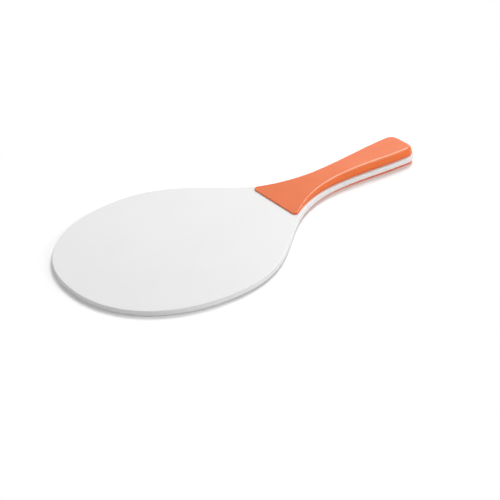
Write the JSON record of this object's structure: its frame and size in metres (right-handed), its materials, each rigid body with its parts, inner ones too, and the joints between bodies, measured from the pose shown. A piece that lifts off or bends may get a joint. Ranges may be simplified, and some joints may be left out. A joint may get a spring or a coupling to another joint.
{
  "type": "frescobol racket",
  "caption": "Rigid round-headed beach racket: a white board with a moulded orange handle scale on its front and a thin orange plate on its back.",
  "frame": {"origin": "middle of the bounding box in plan, on the flat of the back plate", "axes": "+X along the racket from the butt to the tip of the head, +Y across it, +Z out of the front face"},
  "size_m": [0.3376, 0.195, 0.015],
  "materials": {
    "board_paint": "satin white paint over a wood fibre or plywood board",
    "handle_plastic": "glossy moulded orange plastic",
    "pin_nylon": "natural nylon, as moulded"
  },
  "bodies": {
    "root": {"blade_board": "board_paint", "front_handle_scale": "handle_plastic", "back_handle_plate": "handle_plastic", "blind_pin_1": "pin_nylon", "blind_pin_2": "pin_nylon", "blind_pin_3": "pin_nylon", "blind_pin_4": "pin_nylon", "blind_pin_5": "pin_nylon"}
  },
  "joints": []
}
